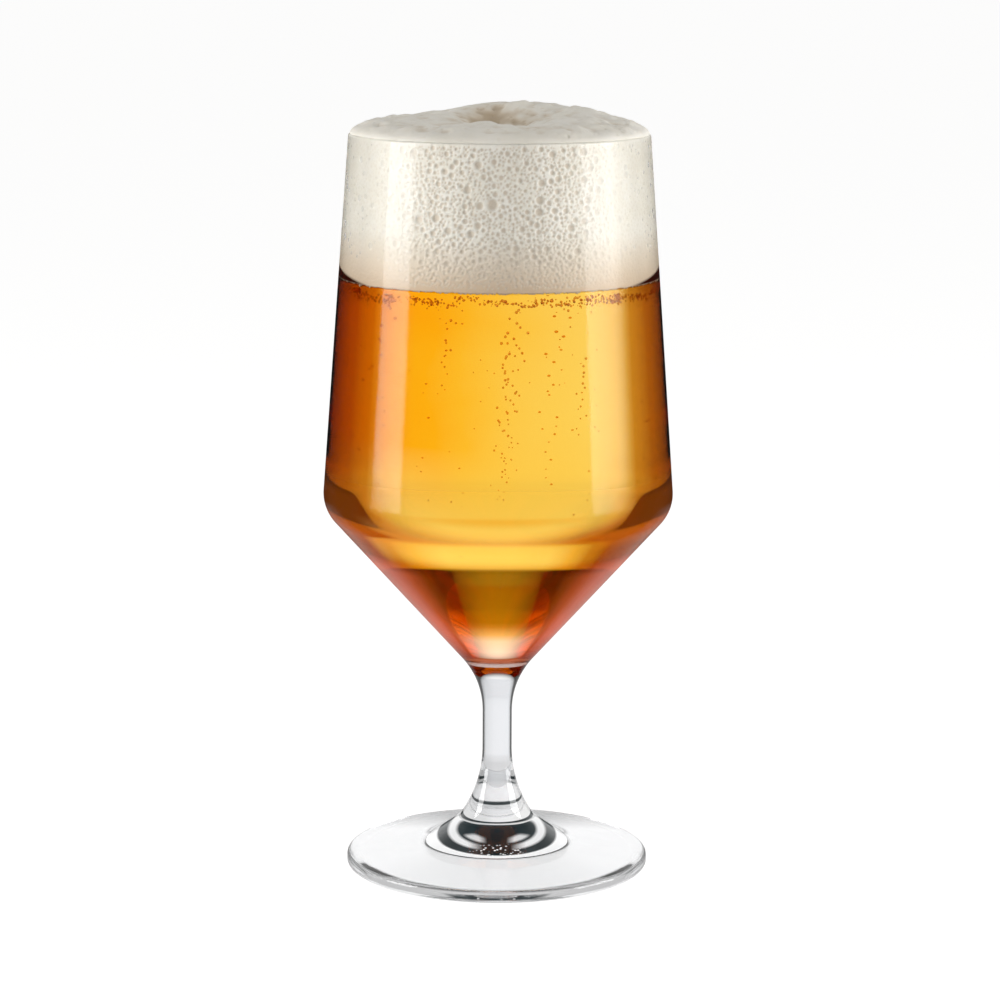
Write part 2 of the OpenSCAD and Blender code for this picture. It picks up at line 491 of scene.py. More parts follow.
def outside_mirror(tree, glass, tint, normal):
    """The outer face mirrors by a table of angles and lets the rest in."""
    inputs = {"IOR": GLASS_IOR, "Roughness": 0.0, "Color": tint, "Normal": normal}
    bend = add(tree, "ShaderNodeBsdfRefraction", inputs).outputs["BSDF"]
    mirror = add(tree, "ShaderNodeBsdfGlossy", {"Roughness": 0.1, "Normal": normal})
    amount = ramp(tree, facing(tree), WALL_MIRROR)
    front = either(tree, amount, bend, mirror.outputs["BSDF"])
    inside = add(tree, "ShaderNodeNewGeometry").outputs["Backfacing"]
    return either(tree, inside, front, glass)


bowl_glass_finish = clear_glass(
    "bowl_glass_finish", WALL_EDGE_SHADE, 0.05, rise=(0.138, 0.144), beer_line_z=0.1432, surface=outside_mirror
)
# Painted shade on the stem: grey by angle over its rise, a plain grey under it, and darker towards
# the left.
stem_glass_finish = clear_glass(
    "stem_glass_finish", STEM_EDGE_SHADE, 0.05, rise=(0.0252, 0.0262), plain=0.78, across=STEM_SIDE_SHADE
)
# Where beer wets the wall, next to no light is mirrored between glass and beer.
wet_glass_finish = clear_glass("wet_glass_finish", (), 0.02, mirror=0.0)

# %% [markdown]
# ### The underside of the foot
# Light that comes down through the mound meets the hollow underside at more than the critical
# angle and is mirrored. What it shows is a dark oval with pale rings and curls, and bright
# grains in front. One view doesn't tell the fine unevenness that they come from, so what the
# underside mirrors is painted: a dark mirror with a faint painted glow, painted rings by the
# distance from the axis, and painted glints of grains by cells.

# %% Painted shade and reflections of the foot
PAST_CRITICAL = 0.262   # Facing just past the angle at which glass mirrors all light
RINGS_REACH = 0.020     # m from the axis to which the rings are drawn
# Painted edge shade of the foot, by how much light skims it.
FOOT_EDGE_SHADE = [
    (0.0, (0.97, 0.97, 0.98)),
    (0.35, (0.80, 0.81, 0.82)),
    (0.6, (0.86, 0.87, 0.88)),
    (0.82, (0.98, 0.98, 0.99)),
    (1.0, (0.90, 0.91, 0.92)),
]
# Painted reflection: dark and pale rings that the underside mirrors, by the distance from the
# axis.
UNDERSIDE_RINGS = greys(
    (0.36, 0.02), (0.40, 0.9), (0.46, 0.9), (0.50, 0.03), (0.61, 0.03), (0.64, 1.0)
)
UNDERSIDE_CURL = greys((0.20, 0.0), (0.25, 0.7), (0.31, 0.7), (0.35, 0.0))
print("rings from", UNDERSIDE_CURL[0][0] * RINGS_REACH, "to", RINGS_REACH, "m from the axis")

# %% The foot's glass


def from_axis(tree, place, measure):
    """The line from the axis to a place: its LENGTH, or with NORMALIZE its direction."""
    flat = add(tree, "ShaderNodeVectorMath", {0: place, 1: (1, 1, 0)}, operation="MULTIPLY")
    return add(tree, "ShaderNodeVectorMath", {0: flat.outputs["Vector"]}, operation=measure)


def underside(tree, glass, tint, normal):
    """Paints what the underside mirrors past the critical angle."""
    place, x, y, _ = axes(tree)
    away = from_axis(tree, place, "LENGTH").outputs["Value"]
    far = mapped(tree, away, 0.0, RINGS_REACH)
    apart = maths(tree, "ABSOLUTE", x)
    # The pale rings show left, right and behind, and the outer one all round.
    shown = maths(
        tree,
        "MAXIMUM",
        mapped(tree, apart, 0.0030, 0.0062),
        mapped(tree, away, 0.0118, 0.0124),
        mapped(tree, y, 0.0020, 0.0045),
    )
    rings = maths(tree, "MULTIPLY", ramp(tree, far, UNDERSIDE_RINGS), shown)
    curl = maths(
        tree,
        "MULTIPLY",
        ramp(tree, far, UNDERSIDE_CURL),
        mapped(tree, apart, 0.0020, 0.0036),
        fading(tree, y, -0.0025, -0.001),
    )
    # Painted glints: bright grains in front.
    cells = add(tree, "ShaderNodeTexVoronoi", {"Scale": 1100.0, "Vector": place})
    grains = maths(
        tree,
        "MULTIPLY",
        fading(tree, cells.outputs["Distance"], 0.22, 0.34),
        fading(tree, y, -0.0085, -0.0065),
        fading(tree, apart, 0.0050, 0.0065),
    )
    inputs = {"Roughness": 0.1, "Color": (0.003, 0.007, 0.009, 1), "Normal": normal}
    gloss = add(tree, "ShaderNodeBsdfGlossy", inputs).outputs["BSDF"]
    # A faint bluish painted glow in the dark mirror.
    haze = add(tree, "ShaderNodeEmission", {"Color": (0.013, 0.021, 0.023, 1)})
    dark = both(tree, gloss, haze.outputs["Emission"])
    pale = add(tree, "ShaderNodeBsdfTransparent").outputs["BSDF"]
    mirror = either(tree, maths(tree, "MAXIMUM", rings, curl, grains), dark, pale)
    mirrored = maths(
        tree,
        "MULTIPLY",
        maths(tree, "GREATER_THAN", facing(tree), PAST_CRITICAL),
        fading(tree, away, RINGS_REACH, RINGS_REACH + 0.002),
        add(tree, "ShaderNodeNewGeometry").outputs["Backfacing"],
    )
    return either(tree, mirrored, glass, mirror)


foot_glass_finish = clear_glass("foot_glass_finish", FOOT_EDGE_SHADE, 0.12, surface=underside)

# %% [markdown]
# ## Foot, stem and bowl
# The three glass pieces are turned from the outlines. In the real glass they are fused, so
# each piece stays open at its seam and light passes from one into the next without meeting a
# hidden wall. A faint swell in the outline marks the seam that the glassmaker's torch leaves.

# %% Outlines of foot, stem and bowl
foot_outline = joined(
    arc(dimple_top - vec(0, dimple_r), dimple_top, -math.asin(DIMPLE_D / 2 / dimple_r)),
    [rest_in],
    rounded(rest_in, foot_low_edge, foot_top_edge, FOOT_LOW_ROUND, 0.15),
    rounded(foot_low_edge, foot_top_edge, mound_corner, FOOT_TOP_ROUND, 0.15),
    rounded(foot_top_edge, mound_corner, foot_seam, MOUND_R, 0.3),
    [foot_seam],
)
stem_outline = joined(
    rounded(foot_seam, flare_corner, cone_foot, flare_r),
    arc(neck_centre, neck_low, seam_sweep),
)
bowl_outline = joined(
    arc(neck_centre, bowl_seam, neck_sweep - seam_sweep),
    rounded(cone_foot, shoulder_out, rim_out, SHOULDER_OUT_R),
    rounded(shoulder_out, rim_out, rim_in, RIM_ROUND, 0.08),
    rounded(rim_out, rim_in, shoulder_in, RIM_ROUND, 0.08),
    rounded(rim_in, shoulder_in, floor_edge, SHOULDER_IN_R),
    rounded(shoulder_in, floor_edge, floor_middle, FLOOR_R),
    [floor_middle],
)
print("outline points:", len(foot_outline), len(stem_outline), len(bowl_outline))

# %% Turn the glass
SEAM_SWELL, SEAM_REACH = 0.12, 0.5   # mm out, and mm to each side


def swelling(points):
    """Lets the outline swell a little where foot and stem were fused."""
    out = []
    for p in points:
        near = math.exp(-((np.linalg.norm(p - foot_seam) / SEAM_REACH) ** 2))
        out.append(p + vec(SEAM_SWELL * near, 0))
    return out


foot_glass = lathe("foot_glass", swelling(foot_outline), foot_glass_finish)
stem_glass = lathe("stem_glass", swelling(stem_outline), stem_glass_finish)
bowl_glass = lathe("bowl_glass", bowl_outline, bowl_glass_finish)

# %% Wet the inside of the bowl
CONE_WET_H = SHOULDER_H - 12   # under this height, faces of the cone and the floor look up
bowl_glass.data.materials.append(wet_glass_finish)
wet_faces = 0
for face in bowl_glass.data.polygons:
    middle = face.center / MM
    inward = face.normal.x * middle.x + face.normal.y * middle.y < 0
    floor_side = face.normal.z > 0.5 and middle.z < CONE_WET_H
    if middle.z < BEER_H and (inward or floor_side):
        face.material_index = 1
        wet_faces += 1
print("faces of the bowl that the beer wets:", wet_faces)
for piece, node in ((foot_glass, "foot"), (stem_glass, "stem"), (bowl_glass, "bowl")):
    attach(piece, "root")
    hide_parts(node)

# %% [markdown]
# ## Beer
# Beer is clear but coloured all the way through: it swallows blue, takes some green and lets
# red pass, so a thick part is deeper amber than a thin one. Volume Absorption does just that,
# and it needs a closed mesh. The mesh reaches a hair into the glass wall, so no film of air is
# left between them.
#
# ### Where the light meets the beer
# The round body bends the dark edges of the room to both sides of the view, from wherever it
# is seen, and those dark flanks are painted shade. So the tones below don't follow x. They
# follow how far round from the middle of the view a spot lies, worked back from how steeply
# the light meets the wall: 0 in the middle, and 1 at the edge. The light has been bent once by
# the glass, and on its way out by the beer too.

# %% How far aside a spot is seen


def other_leg(tree, leg):
    """The other short side of a right-angled triangle whose long side is 1."""
    return maths(tree, "SQRT", maths(tree, "SUBTRACT", 1.0, maths(tree, "POWER", leg, 2.0)))


beer_finish, tree = new_material("beer_finish")
skim = facing(tree)
place, to_right, _, height = axes(tree)
geometry = add(tree, "ShaderNodeNewGeometry").outputs
inside = geometry["Backfacing"]
tilt = add(tree, "ShaderNodeSeparateXYZ", {0: geometry["Normal"]}).outputs["Z"]
lean = maths(tree, "ABSOLUTE", tilt)
# The square of the index that has bent the light: glass from outside, beer from inside.
bent = mapped(tree, inside, 0.0, 1.0, 2.31, 1.80)
square_on = maths(tree, "SUBTRACT", 1.0, skim)
skew = maths(tree, "SUBTRACT", 1.0, maths(tree, "POWER", square_on, 2.0))
toward = maths(tree, "SUBTRACT", 1.0, maths(tree, "MULTIPLY", skew, bent), clamp=True)
toward = maths(tree, "ADD", maths(tree, "SQRT", toward), maths(tree, "MULTIPLY", lean, 0.2))
level_part = maths(tree, "ADD", other_leg(tree, lean), 0.02)
aside = other_leg(tree, maths(tree, "DIVIDE", toward, level_part, clamp=True))
round_x = from_axis(tree, place, "NORMALIZE").outputs["Vector"]
round_x = add(tree, "ShaderNodeSeparateXYZ", {0: round_x}).outputs["X"]
print("the beer's places by angle are set")

# %% [markdown]
# ### Tones of the beer
# Three tints are multiplied: painted shade on the dark flanks, by one law over the shoulder and
# by another in the cone, painted shade from deep amber on the left to pale gold on the right,
# and a tone with height, from the reddish foot of the cone to the clear body over it.

# %% The beer's painted dark flanks
# Light meets the beer inside the glass, where even skimming light comes in within 42 degrees.
# Painted shade on the flanks, a little deeper on the left.
left = mapped(tree, to_right, -0.02, 0.02, 0.06, 0.0)
body = ramp(
    tree,
    maths(tree, "ADD", mapped(tree, skim, 0.0, 0.26), left),
    [
        (0.30, (1.0, 1.0, 1.0)),
        (0.44, (0.90, 0.70, 0.40)),
        (0.62, (0.35, 0.12, 0.01)),
        (0.80, (0.18, 0.03, 0.0005)),
        (1.0, (0.13, 0.012, 0.0001)),
    ],
)
flank = ramp(
    tree,
    maths(tree, "ADD", aside, mapped(tree, round_x, 0.3, 0.8, 0.0, 0.15)),
    [
        (0.45, (1.0, 1.0, 1.0)),
        (0.62, (0.85, 0.50, 0.12)),
        (0.76, (0.35, 0.10, 0.003)),
        (0.90, (0.14, 0.012, 0.0002)),
        (1.0, (0.12, 0.01, 0.0001)),
    ],
)
cone_side = mixed(tree, mapped(tree, height, 0.070, 0.074), WHITE, flank)
sides = mixed(tree, mapped(tree, height, 0.082, 0.096), cone_side, body)
print("flanks:", len(tree.nodes), "nodes so far")

# %% Painted shade from left to right, and tone with height
# Painted shade: deep amber on the left, pale gold towards the right.
sideways_light = maths(tree, "ADD", to_right, maths(tree, "MULTIPLY", grain(tree, 30), 0.03))
side_shade = ramp(
    tree,
    mapped(tree, sideways_light, -0.008, 0.026),
    [
        (0.0, (1.0, 0.50, 0.004)),
        (0.24, (1.0, 0.56, 0.01)),
        (0.45, (1.0, 0.74, 0.12)),
        (0.68, (1.0, 0.89, 0.50)),
        (0.85, (1.0, 0.97, 0.90)),
        (1.0, (1.0, 1.0, 1.0)),
    ],
)
side_shaded = mixed(tree, mapped(tree, height, 0.090, 0.108), WHITE, side_shade)
# A tone with height: dark and reddish at the foot of the cone, orange in the cone and pale over
# the shoulder.
depth = ramp(
    tree,
    mapped(tree, height, 0.05, 0.15),
    [
        (0.035, (0.29, 0.09, 0.04)),
        (0.05, (0.95, 0.50, 0.01)),
        (0.22, (0.92, 0.50, 0.01)),
        (0.292, (0.92, 0.50, 0.01)),
        (0.310, (1.0, 0.93, 0.80)),
        (0.40, (1.0, 0.97, 0.90)),
        (0.55, (1.0, 1.0, 1.0)),
        (1.0, (1.0, 0.96, 0.9)),
    ],
)
tone = mixed(tree, 1.0, mixed(tree, 1.0, sides, side_shaded, "MULTIPLY"), depth, "MULTIPLY")
print("tones:", len(tree.nodes), "nodes so far")

# %% [markdown]
# ### Light that is scattered in the beer
# A little light is scattered in the beer and comes back: a pale pool over the thick floor, a
# red glow along the margins of the cone, a paler belt over it and a brown glow in the corners
# of the shoulder. A scattering volume would be slow and grainy, so each is a weak glow of the
# beer's skin, and only where a ray first meets it.

# %% Colours of the pool and the margins
pool = ramp(
    tree,
    mapped(tree, height, 0.052, 0.064),
    [
        (0.0, (0.0, 0.0, 0.0)),
        (0.10, (0.66, 0.56, 0.46)),
        (0.25, (0.72, 0.66, 0.58)),
        (0.52, (0.66, 0.58, 0.42)),
        (0.68, (0.48, 0.30, 0.10)),
        (0.88, (0.14, 0.05, 0.01)),
        (1.0, (0.0, 0.0, 0.0)),
    ],
)
margin = ramp(
    tree,
    aside,
    [
        (0.0, (0.06, 0.0, 0.0)),
        (0.30, (0.02, 0.0, 0.0)),
        (0.60, (0.06, 0.01, 0.0)),
        (0.68, (0.15, 0.03, 0.001)),
        (0.82, (0.38, 0.07, 0.02)),
        (0.95, (0.50, 0.12, 0.07)),
    ],
)
print("glow colours:", len(tree.nodes), "nodes so far")

# %% Where each glow lies
belt, corners = (0.20, 0.12, 0.03, 1), (0.14, 0.030, 0.001, 1)
met_before = add(tree, "ShaderNodeLightPath").outputs["Ray Depth"]
first_met = maths(
    tree, "MULTIPLY", maths(tree, "SUBTRACT", 1.0, inside), fading(tree, met_before, 1.4, 1.6)
)
glows = (
    (pool, fading(tree, aside, 0.35, 0.85)),
    (margin, fading(tree, height, 0.076, 0.080), mapped(tree, height, 0.051, 0.059, 0.3, 1.0)),
    (
        belt,
        mapped(tree, height, 0.079, 0.083),
        fading(tree, height, 0.0865, 0.0905),
        fading(tree, round_x, 0.10, 0.50),
        fading(tree, aside, 0.84, 0.92),
    ),
    (
        corners,
        mapped(tree, height, 0.083, 0.087),
        fading(tree, height, 0.094, 0.098),
        mapped(tree, aside, 0.66, 0.74),
    ),
)
print(len(glows), "glows")

# %% The beer's finish
inputs = {
    "IOR": 1.333,
    "Transmission Weight": 1.0,
    "Roughness": 0.0,
    "Specular Tint": (0, 0, 0, 1),
    "Base Color": tone,
}
liquid = add(tree, "ShaderNodeBsdfPrincipled", inputs).outputs["BSDF"]
for colour, *shares in glows:
    inputs = {"Color": colour, "Strength": maths(tree, "MULTIPLY", first_met, *shares)}
    liquid = both(tree, liquid, add(tree, "ShaderNodeEmission", inputs).outputs["Emission"])
end = lit_through(tree, liquid, (0.95, 0.75, 0.35, 1))
inputs = {"Color": (0.9975, 0.925, 0.60, 1), "Density": 80.0}
amber = add(tree, "ShaderNodeVolumeAbsorption", inputs).outputs["Volume"]
tree.links.new(amber, end.inputs["Volume"])
print("beer_finish", len(tree.nodes), "nodes")

# %% Turn the beer
INTO_WALL = 0.05


def grown(points, by):
    """The outline moved outward, square to itself, by so many millimetres."""
    out = []
    for i, p in enumerate(points):
        run = unit(points[min(i + 1, len(points) - 1)] - points[max(i - 1, 0)])
        out.append(p + by * vec(run[1], -run[0]))
    out[0][0] = 0.0
    return out


beer_wall = joined(
    [floor_middle],
    rounded(floor_middle, floor_edge, shoulder_in, FLOOR_R),
    rounded(floor_edge, shoulder_in, rim_in, SHOULDER_IN_R),
    [vec(inside_r(BEER_H), BEER_H)],
)
beer = lathe("beer_liquid", [*grown(beer_wall, INTO_WALL), vec(0, BEER_H)], beer_finish)
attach(beer, "root")
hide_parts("beer")

# %% [markdown]
# ## Foam
# The head is a stiff foam. Against the wall it shows the bubbles that the glass cuts open,
# from half a millimetre to three millimetres wide and finer towards the beer. On top it
# stands over the rim in soft swells round a crater. A bump map alone would look painted under
# the wall, so the bubbles are dents in a fine mesh, and the crown is the same dome of swells
# that the solid has, with smaller swells and pits added.

# %% The foam's finish
foam_finish, tree = new_material("foam_finish")
# The bubble attribute carries painted shade: the dents of the wall's bubbles and the crown's
# hollows.
painted_shade = add(tree, "ShaderNodeAttribute", attribute_name="bubble").outputs["Fac"]
place, _, _, foam_z = axes(tree)
patches = grain(tree, 120, detail=4.0)
pale = ramp(tree, patches, [(0.3, (0.80, 0.765, 0.68)), (0.7, (0.86, 0.83, 0.76))])
cream = mixed(tree, fading(tree, foam_z, 0.144, 0.156), pale, (0.66, 0.52, 0.37, 1))
# Painted shade: tan in the dents and the hollows.
shadow = ramp(
    tree,
    painted_shade,
    [(0.0, (0.70, 0.62, 0.50)), (0.6, (0.66, 0.57, 0.45)), (1.0, (0.52, 0.42, 0.30))],
)
tan = mixed(tree, maths(tree, "MULTIPLY", painted_shade, 1.5, clamp=True), cream, shadow)
inputs = {"Scale": 1500.0, "Vector": place}
cells = add(tree, "ShaderNodeTexVoronoi", inputs, feature="DISTANCE_TO_EDGE")
fine = mapped(tree, cells.outputs["Distance"], 0.0, 0.12, 0.3, 0.0)
relief = {"Strength": 0.35, "Distance": 0.0002, "Height": maths(tree, "ADD", fine, patches)}
# A painted glow on the underside stands for the light of the beer that it is lit through.
out_of_face = add(tree, "ShaderNodeNewGeometry").outputs["True Normal"]
upward = add(tree, "ShaderNodeSeparateXYZ", {0: out_of_face}).outputs["Z"]
under = maths(
    tree, "MULTIPLY", fading(tree, upward, -0.9, -0.7), fading(tree, foam_z, 0.1440, 0.1442)
)
inputs = {
    "Base Color": tan,
    "Roughness": 0.65,
    "Subsurface Weight": 0.2,
    "Subsurface Scale": 0.002,
    "Subsurface Radius": (1.0, 0.9, 0.75),
    "Emission Color": (0.5, 0.22, 0.05, 1),
    "Emission Strength": under,
    "Normal": add(tree, "ShaderNodeBump", relief).outputs["Normal"],
}
froth = add(tree, "ShaderNodeBsdfPrincipled", inputs).outputs["BSDF"]
add(tree, "ShaderNodeOutputMaterial", {"Surface": froth})
print("foam_finish", len(tree.nodes), "nodes")

# %% [markdown]
# ### Where the bubbles lie
# Bubbles hardly overlap: each pushes its neighbours aside. So they are dropped one by one,
# largest first, and one that would land on another is dropped again elsewhere. The random
# numbers start from a fixed seed, so the same foam forms each time.

# %% Sizes and places of the bubbles
INTO_GLASS = 0.08   # mm that the foam's side lies inside the wall
FOAM_TOP = GLASS_H - RIM_ROUND
ROLL_R = 35.0       # mm: the wall is rolled out flat at this radius
CELL = 3            # mm: bubbles in cells further apart than one can't touch
OVERLAP = 0.92      # share of their radii that two bubbles keep between their middles
BIG_BUBBLE = (math.radians(267.5) * ROLL_R, 163.4, 1.5)
# Each batch: how many, their least and greatest radius, and their lowest and highest place.
BATCHES = (
    (150, 0.75, 1.05, 152.0, 175.0),
    (800, 0.5, 0.75, 149.0, 176.0),
    (2200, 0.36, 0.5, 146.0, 176.0),
    (4500, 0.24, 0.36, 144.5, 176.3),
)
print("bubbles to drop:", sum(batch[0] for batch in BATCHES))

# %% A grid that finds neighbours
wall_bubbles, grid = [], {}


def cell_of(x, z):
    return int(x // CELL), int(z // CELL)


def room_for(x, z, r):
    cx, cz = cell_of(x, z)
    for i in range(cx - 1, cx + 2):
        for j in range(cz - 1, cz + 2):
            for x2, z2, r2 in grid.get((i, j), ()):
                if (x - x2) ** 2 + (z - z2) ** 2 < (OVERLAP * (r + r2)) ** 2:
                    return False
    return True


def settle(x, z, r):
    grid.setdefault(cell_of(x, z), []).append((x, z, r))
    wall_bubbles.append((x / ROLL_R, z, r))


settle(*BIG_BUBBLE)
print("the largest bubble lies in cell", cell_of(*BIG_BUBBLE[:2]))

# %% Scatter the bubbles on the wall
scatter = random.Random(11)


def drop_bubbles(count, low, high, z_low, z_high):
    placed = 0
    for _ in range(count * 6):
        if placed == count:
            break
        r = scatter.uniform(low, high)
        z = scatter.uniform(z_low, z_high)
        x = scatter.uniform(0, 2 * math.pi) * ROLL_R
        if room_for(x, z, r):
            settle(x, z, r)
            placed += 1
    return placed


for batch in BATCHES:
    print("bubbles", batch[1], "to", batch[2], "mm:", drop_bubbles(*batch))

# %% [markdown]
# ### The crown
# The dome is the one that the solid has: a flat-topped swell with a crater and some lumps. It
# is drawn as a square map of heights, so that finer things can be laid over it: soft folds
# from three sizes of noise, and pores where bubbles have burst. Hollows in foam look tan,
# because little light gets in, so they get painted shade. A map shows where they are: a place
# is hollow when it lies under the average height around it, and painted shady spots are added.

# %% Lumps, folds and shades of the crown
DOME_SHARE, DOME_POWER = 0.54, 6
LUMPS = (
    (0.22, 0.38, 0.25, 0.46),
    (-0.18, 0.36, 0.18, 0.23),
    (0.08, 0.02, 0.16, -0.37),
    (-0.10, -0.04, 0.09, -0.22),
    (0.27, -0.45, 0.09, -0.19),
    (0.56, 0.06, 0.16, 0.26),
    (-0.66, -0.16, 0.20, 0.05),
    (-0.42, -0.38, 0.12, -0.17),
    (-0.36, -0.02, 0.11, 0.11),
    (0.02, -0.40, 0.11, 0.11),
    (0.48, -0.34, 0.12, 0.11),
    (0.10, 0.22, 0.06, 0.11),
)
MAP_SIDE = 421
FOLDS = ((4.0, 0.60, 0.0), (9.0, 0.60, 3.0), (21.0, 0.14, 7.0))
FRONT_DIP = (0.05, -0.26, 0.17, 1.9)   # the crater runs out towards the front
PORES, PORE_R, PORE_DEPTH = 1300, (0.22, 0.48), 0.30   # number, mm, share of the radius
# Painted shade spots on the crown, each from its place, its reach and its strength.
SHADY = (
    (-0.08, 0.04, 0.13, 0.95),
    (-0.05, 0.26, 0.12, 0.40),
    (0.26, -0.72, 0.07, 0.55),
    (-0.57, -0.70, 0.08, 0.45),
    (-0.12, -0.20, 0.14, 0.60),
    (0.24, 0.05, 0.08, 0.35),
)
print("crown:", len(LUMPS), "lumps and", PORES, "pores")

# %% The dome
line = np.linspace(-1, 1, MAP_SIDE)
across, along = np.meshgrid(line, line, indexing="ij")
inward = 1 - np.hypot(across, along)


def spots(x, y, table):
    """Soft round spots, each from its place, its reach and its height."""
    return sum(h * np.exp(-((x - a) ** 2 + (y - b) ** 2) / (2 * s**2)) for a, b, s, h in table)


def dome(x, y):
    """Height over the rim, in millimetres, at places in shares of the foam's radius."""
    share = np.minimum(np.hypot(x, y), 1.0)
    return CROWN_H * np.sqrt(1 - share**DOME_POWER) * (DOME_SHARE + spots(x, y, LUMPS))


crown = dome(across, along) - spots(across, along, [FRONT_DIP])
print("dome: highest", round(crown[inward > 0].max(), 2), "mm over the rim")

# %% Folds and pores
for waves, swell, shift in FOLDS:
    folds = [noise.noise(Vector((x * waves, y * waves, shift))) for x in line for y in line]
    crown += swell * np.reshape(folds, crown.shape) * np.clip(inward * 9, 0, 1)
burst = random.Random(5)
for _ in range(PORES):
    x, y, r = burst.uniform(-1, 1), burst.uniform(-1, 1), burst.uniform(*PORE_R) / FOAM_R
    spot = tuple(slice(*np.searchsorted(line, (k - r, k + r))) for k in (x, y))
    d = np.hypot(across[spot] - x, along[spot] - y) / r
    crown[spot] -= PORE_DEPTH * r * FOAM_R * np.sqrt(np.clip(1 - d**2, 0, None))
print("crown: highest", round(crown[inward > 0].max(), 2), "mm over the rim")

# %% Painted shade in the hollows


def blurred(field, reach):
    """The average of a map over a square window."""
    for axis in (0, 1):
        field = sum(np.roll(field, k, axis) for k in range(-reach, reach + 1)) / (2 * reach + 1)
    return field


hollow = 1.7 * (blurred(crown, 14) - crown) + 0.4 * (blurred(crown, 5) - crown)
hollow = np.clip(hollow, -0.3, 0.6) + spots(across, along, SHADY)
hollow *= np.clip(inward * 12, 0, 1)
print("hollow share of the crown:", round((hollow[inward > 0] > 0.1).mean(), 2))

# %% Reading a map between its cells


def looked_up(field, x, y):
    """The value of a map at places in shares, blended from the four nearest cells."""
    u, v = ((np.clip(k, -1, 1) + 1) / 2 * (MAP_SIDE - 1) for k in (x, y))
    i, j = (np.minimum(k.astype(int), MAP_SIDE - 2) for k in (u, v))
    u, v = u - i, v - j
    low = field[i, j] * (1 - v) + field[i, j + 1] * v
    high = field[i + 1, j] * (1 - v) + field[i + 1, j + 1] * v
    return low * (1 - u) + high * u


print("hollow in the middle:", looked_up(hollow, np.zeros(1), np.zeros(1)).round(2))

# %% [markdown]
# ### One skin for the whole head
# The side and the crown are one closed mesh of rings, from the edge of the underside up the
# wall, over the round of the glass's rim and in to the middle of the crown. The foam wets the
# glass, so its side lies a hair inside the wall, and only the bubbles stand free of it.

# %% The foam's side with its dents
SIDE_COLUMNS, SIDE_ROWS, CROWN_RINGS = 960, 150, 110
FOAM_SINK = 0.45   # mm that the foam's edge hangs into the beer
DENT = 0.55        # depth of a bubble as a share of its radius


def dented_side():
    """Radius and painted shade in the bubbles of the foam's side, one row for each height."""
    heights = np.linspace(BEER_H - FOAM_SINK, FOAM_TOP, SIDE_ROWS)
    angles = np.arange(SIDE_COLUMNS) * 2 * math.pi / SIDE_COLUMNS
    radius = np.array([inside_r(z) + INTO_GLASS for z in heights])[:, None]
    radius = radius.repeat(SIDE_COLUMNS, 1)
    shade = np.zeros_like(radius)
    for angle, z, r in wall_bubbles:
        rows = np.nonzero(abs(heights - z) < r)[0]
        if not len(rows):
            continue
        reach = r / ROLL_R
        near = int(reach / (2 * math.pi) * SIDE_COLUMNS) + 2
        middle = int(round(angle / (2 * math.pi) * SIDE_COLUMNS))
        columns = np.arange(middle - near, middle + near + 1) % SIDE_COLUMNS
        away = (angles[columns] - angle + math.pi) % (2 * math.pi) - math.pi
        d = np.hypot(away[None, :] * ROLL_R, (heights[rows] - z)[:, None]) / r
        dent = DENT * r * np.sqrt(np.clip(1 - d**2, 0, None))
        spot = np.ix_(rows, columns)
        # At the sides a bubble is seen on its edge, through thick glass, and hardly shows.
        plain = 1 - 0.75 * min(1.0, max(0.0, (abs(math.cos(angle)) - 0.42) / 0.36))
        radius[spot] -= dent * plain
        # Painted shade inside the dent.
        shade[spot] = np.maximum(shade[spot], plain * np.clip((1 - d) * 2.5, 0, 1))
    return heights, angles, radius, 0.6 * shade


heights, angles, radius, shade = dented_side()
print("deepest dent", round(float((radius.max(axis=1) - radius.min(axis=1)).max()), 2), "mm")

# %% Rings of the side, the rim and the crown
ring = np.column_stack([np.cos(angles), np.sin(angles)])
rings = [
    np.column_stack([ring * r[:, None], np.full(SIDE_COLUMNS, z)]) for r, z in zip(radius, heights)
]
tones = list(shade)
sag = np.random.default_rng(3)
rings[0][:, 2] += 0.13 * sag.normal(size=SIDE_COLUMNS)
rings[0][:, 2] += 0.08 * sag.normal(size=SIDE_COLUMNS // 4).repeat(4)
for over_rim in map(math.radians, (20, 40, 60, 80)):
    r = rim_in[0] + RIM_ROUND - (RIM_ROUND - INTO_GLASS) * math.cos(over_rim)
    z = FOAM_TOP + (RIM_ROUND + 0.02) * math.sin(over_rim)
    rings.append(np.column_stack([ring * r, np.full(SIDE_COLUMNS, z)]))
    tones.append(np.zeros(SIDE_COLUMNS))
for k in range(CROWN_RINGS):
    x, y = ((1 - (k / CROWN_RINGS) ** 1.35) * ring).T
    z = GLASS_H + np.maximum(0.02, looked_up(crown, x, y))
    rings.append(np.column_stack([FOAM_R * x, FOAM_R * y, z]))
    tones.append(np.clip(looked_up(hollow, x, y), 0, 1))
print("foam:", len(rings), "rings,", len(wall_bubbles), "bubbles on the wall")

# %% Close the foam and dress it
peak = len(rings) * SIDE_COLUMNS
rows = np.arange(peak).reshape(-1, SIDE_COLUMNS).tolist()
rows = [[peak + 1] * SIDE_COLUMNS, *rows, [peak] * SIDE_COLUMNS]
half = MAP_SIDE // 2
ends = [[0, 0, GLASS_H + crown[half, half]], [0, 0, BEER_H - FOAM_SINK]]
points = np.vstack([*rings, ends])
tones = np.concatenate([*tones, [tones[-1].mean(), 0.0]])
foam = mesh_piece("poured_foam", points, skin(rows), foam_finish)
attribute = foam.data.attributes.new("bubble", "FLOAT", "POINT")
attribute.data.foreach_set("value", tones)
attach(foam, "root")
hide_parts("foam_head")
print("foam:", len(points), "points")

